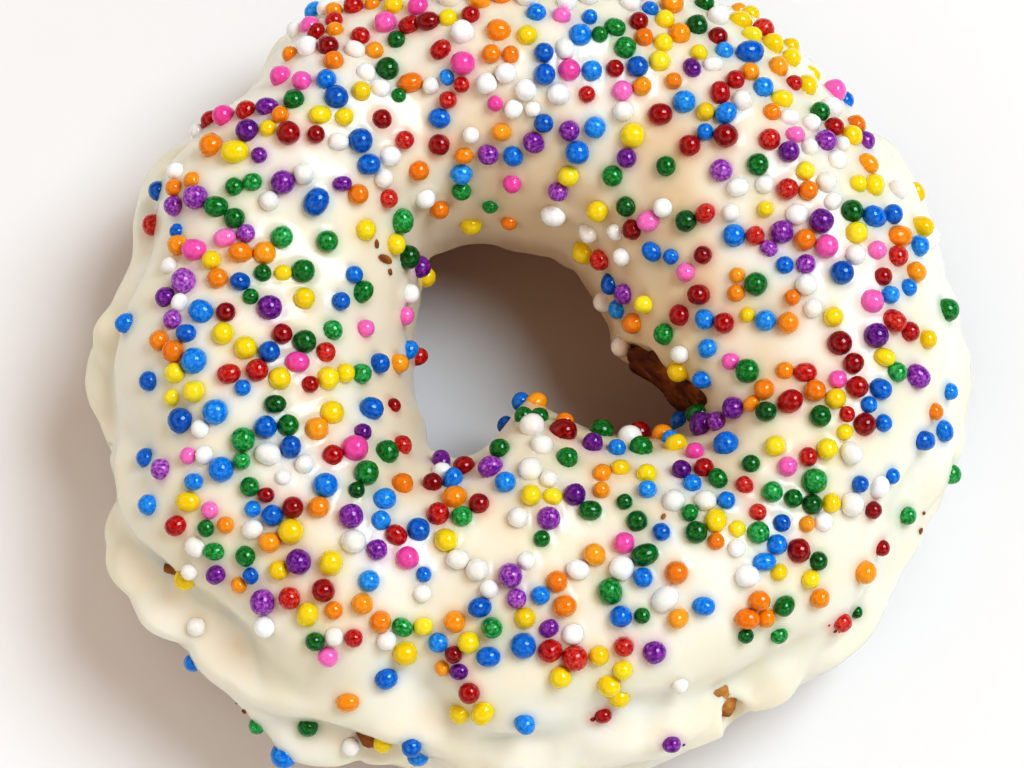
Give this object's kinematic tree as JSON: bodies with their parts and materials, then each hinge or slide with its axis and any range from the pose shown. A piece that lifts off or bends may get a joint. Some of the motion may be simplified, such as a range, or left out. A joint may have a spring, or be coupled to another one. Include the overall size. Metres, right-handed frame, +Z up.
{
  "type": "sprinkle frosted doughnut",
  "caption": "Lumpy ring doughnut with a flat base, white icing down past its widest line and round sugar sprinkles set in the icing.",
  "frame": {"origin": "middle of the ring's bounding box, on the flat base", "axes": "+Z up out of the base; +X and +Y across the ring, with the narrow neck of the hole towards -Y"},
  "size_m": [0.0816, 0.0788, 0.0299],
  "materials": {
    "crust": "fried dough crust, golden brown, dull and finely pitted",
    "icing": "set cream-white icing, smooth and glossy",
    "sprinkle": "round sugar sprinkles in eight colours, glossy, some finely speckled"
  },
  "bodies": {
    "root": {"dough": "crust", "icing": "icing"}
  },
  "joints": []
}
